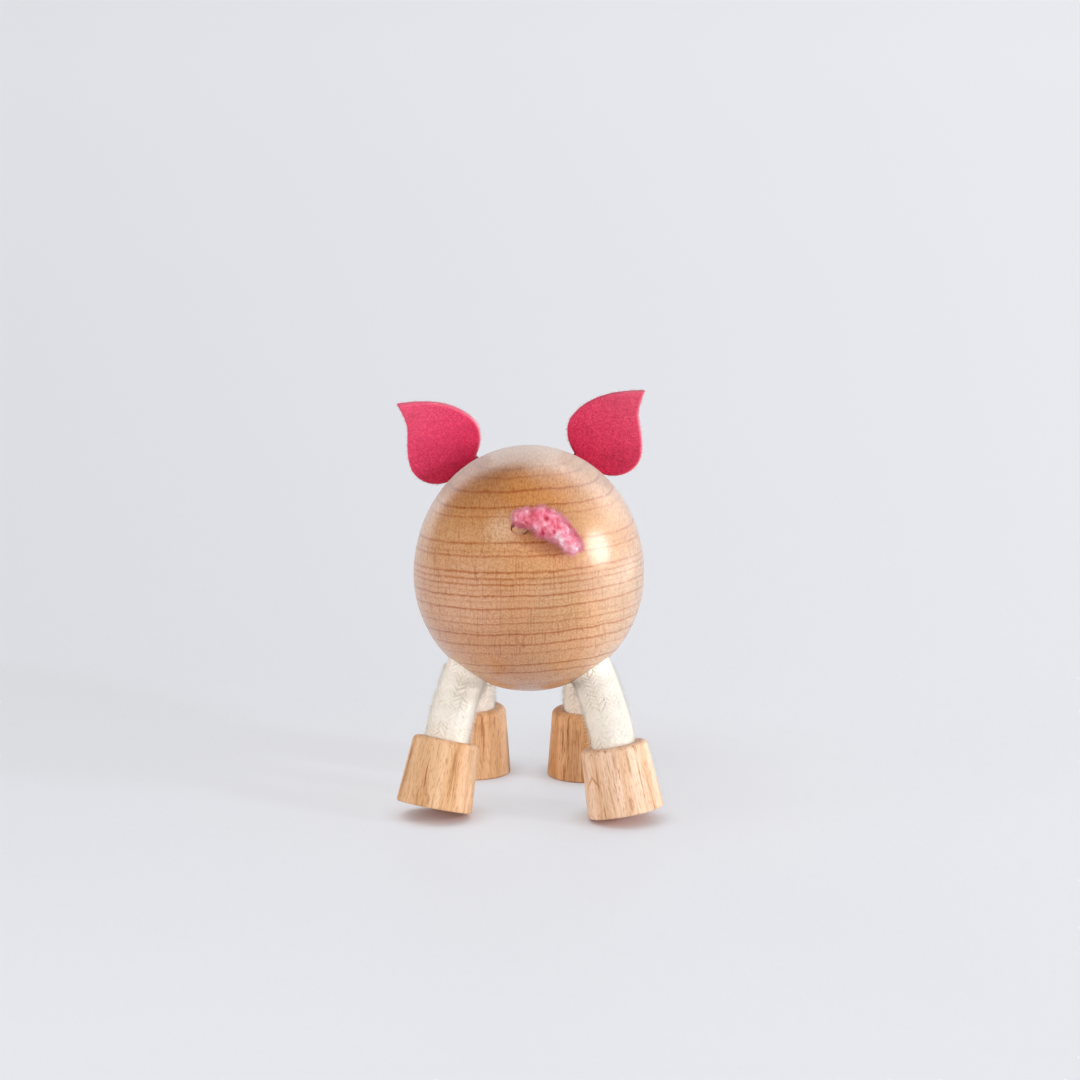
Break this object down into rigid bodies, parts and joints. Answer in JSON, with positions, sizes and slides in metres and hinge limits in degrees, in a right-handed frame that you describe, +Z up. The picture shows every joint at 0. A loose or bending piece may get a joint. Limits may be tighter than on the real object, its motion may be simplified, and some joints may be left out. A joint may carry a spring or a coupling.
{
  "type": "wooden toy pig",
  "caption": "Standing toy pig with a turned wooden egg torso, bendable braided cord legs in wooden feet, felt ears and a fuzzy chenille tail.",
  "frame": {"origin": "on the floor under the middle of the overall box", "axes": "+Z up, +Y from tail to snout, +X to the pig's right"},
  "size_m": [0.0499, 0.0794, 0.073],
  "materials": {
    "lacquered_wood": "clear lacquer",
    "plain_wood": "sanded, uncoated",
    "stained_wood": "pink stain, satin",
    "cotton_cord": "braided cotton",
    "felt": "pressed felt",
    "chenille": "fuzzy pile",
    "wire": "soft annealed wire",
    "black": "gloss"
  },
  "bodies": {
    "torso_body": {"torso": "lacquered_wood", "tail_peg": "plain_wood", "snout": "stained_wood", "snout_dowel": "plain_wood", "left_eye": "black", "right_eye": "black"},
    "rear_left_leg_body": {"rear_left_leg_cord": "cotton_cord", "rear_left_leg_wire": "wire"},
    "rear_left_foot_body": {"rear_left_foot": "plain_wood"},
    "rear_right_leg_body": {"rear_right_leg_cord": "cotton_cord", "rear_right_leg_wire": "wire"},
    "rear_right_foot_body": {"rear_right_foot": "plain_wood"},
    "front_left_leg_body": {"front_left_leg_cord": "cotton_cord", "front_left_leg_wire": "wire"},
    "front_left_foot_body": {"front_left_foot": "plain_wood"},
    "front_right_leg_body": {"front_right_leg_cord": "cotton_cord", "front_right_leg_wire": "wire"},
    "front_right_foot_body": {"front_right_foot": "plain_wood"},
    "tail_body": {"tail_pile": "chenille", "tail_wire": "wire"},
    "left_ear_body": {"left_ear": "felt"},
    "right_ear_body": {"right_ear": "felt"}
  },
  "joints": [
    {"name": "rear_left_swing", "type": "hinge", "parent": "torso_body", "child": "rear_left_leg_body", "pos_m": [-0.01277, -0.01976, 0.02375], "axis": [1, 0, 0], "range_deg": [-45, 20], "deforming": ["rear_left_leg_cord", "rear_left_leg_wire"]},
    {"name": "rear_left_splay", "type": "hinge", "parent": "rear_left_leg_body", "child": "rear_left_foot_body", "pos_m": [-0.01455, -0.02009, 0.01737], "axis": [0, 1, 0], "range_deg": [-20, 20], "deforming": ["rear_left_leg_cord", "rear_left_leg_wire"]},
    {"name": "rear_right_swing", "type": "hinge", "parent": "torso_body", "child": "rear_right_leg_body", "pos_m": [0.01288, -0.02025, 0.02366], "axis": [1, 0, 0], "range_deg": [-45, 20], "deforming": ["rear_right_leg_cord", "rear_right_leg_wire"]},
    {"name": "rear_right_splay", "type": "hinge", "parent": "rear_right_leg_body", "child": "rear_right_foot_body", "pos_m": [0.01493, -0.0226, 0.0173], "axis": [0, 1, 0], "range_deg": [-20, 20], "deforming": ["rear_right_leg_cord", "rear_right_leg_wire"]},
    {"name": "front_left_swing", "type": "hinge", "parent": "torso_body", "child": "front_left_leg_body", "pos_m": [-0.01066, 0.00832, 0.02259], "axis": [1, 0, 0], "range_deg": [-20, 45], "deforming": ["front_left_leg_cord", "front_left_leg_wire"]},
    {"name": "front_left_splay", "type": "hinge", "parent": "front_left_leg_body", "child": "front_left_foot_body", "pos_m": [-0.01071, 0.00915, 0.01607], "axis": [0, 1, 0], "range_deg": [-10, 25], "deforming": ["front_left_leg_cord", "front_left_leg_wire"]},
    {"name": "front_right_swing", "type": "hinge", "parent": "torso_body", "child": "front_right_leg_body", "pos_m": [0.01065, 0.00801, 0.02259], "axis": [1, 0, 0], "range_deg": [-20, 45], "deforming": ["front_right_leg_cord", "front_right_leg_wire"]},
    {"name": "front_right_splay", "type": "hinge", "parent": "front_right_leg_body", "child": "front_right_foot_body", "pos_m": [0.01062, 0.00746, 0.01607], "axis": [0, 1, 0], "range_deg": [-25, 10], "deforming": ["front_right_leg_cord", "front_right_leg_wire"]},
    {"name": "tail_wag", "type": "hinge", "parent": "torso_body", "child": "tail_body", "pos_m": [-0.00143, -0.03203, 0.05763], "axis": [-0.0828, -0.647, 0.758], "range_deg": [-40, 90]},
    {"name": "left_ear_flex", "type": "hinge", "parent": "torso_body", "child": "left_ear_body", "pos_m": [-0.01238, 0.01565, 0.05789], "axis": [-0.7022, 0, -0.712], "range_deg": [-35, 35], "stiffness_Nm_per_rad": 0.002, "deforming": ["left_ear"]},
    {"name": "right_ear_flex", "type": "hinge", "parent": "torso_body", "child": "right_ear_body", "pos_m": [0.01131, 0.01565, 0.05874], "axis": [-0.8007, 0, 0.599], "range_deg": [-35, 35], "stiffness_Nm_per_rad": 0.002, "deforming": ["right_ear"]}
  ]
}
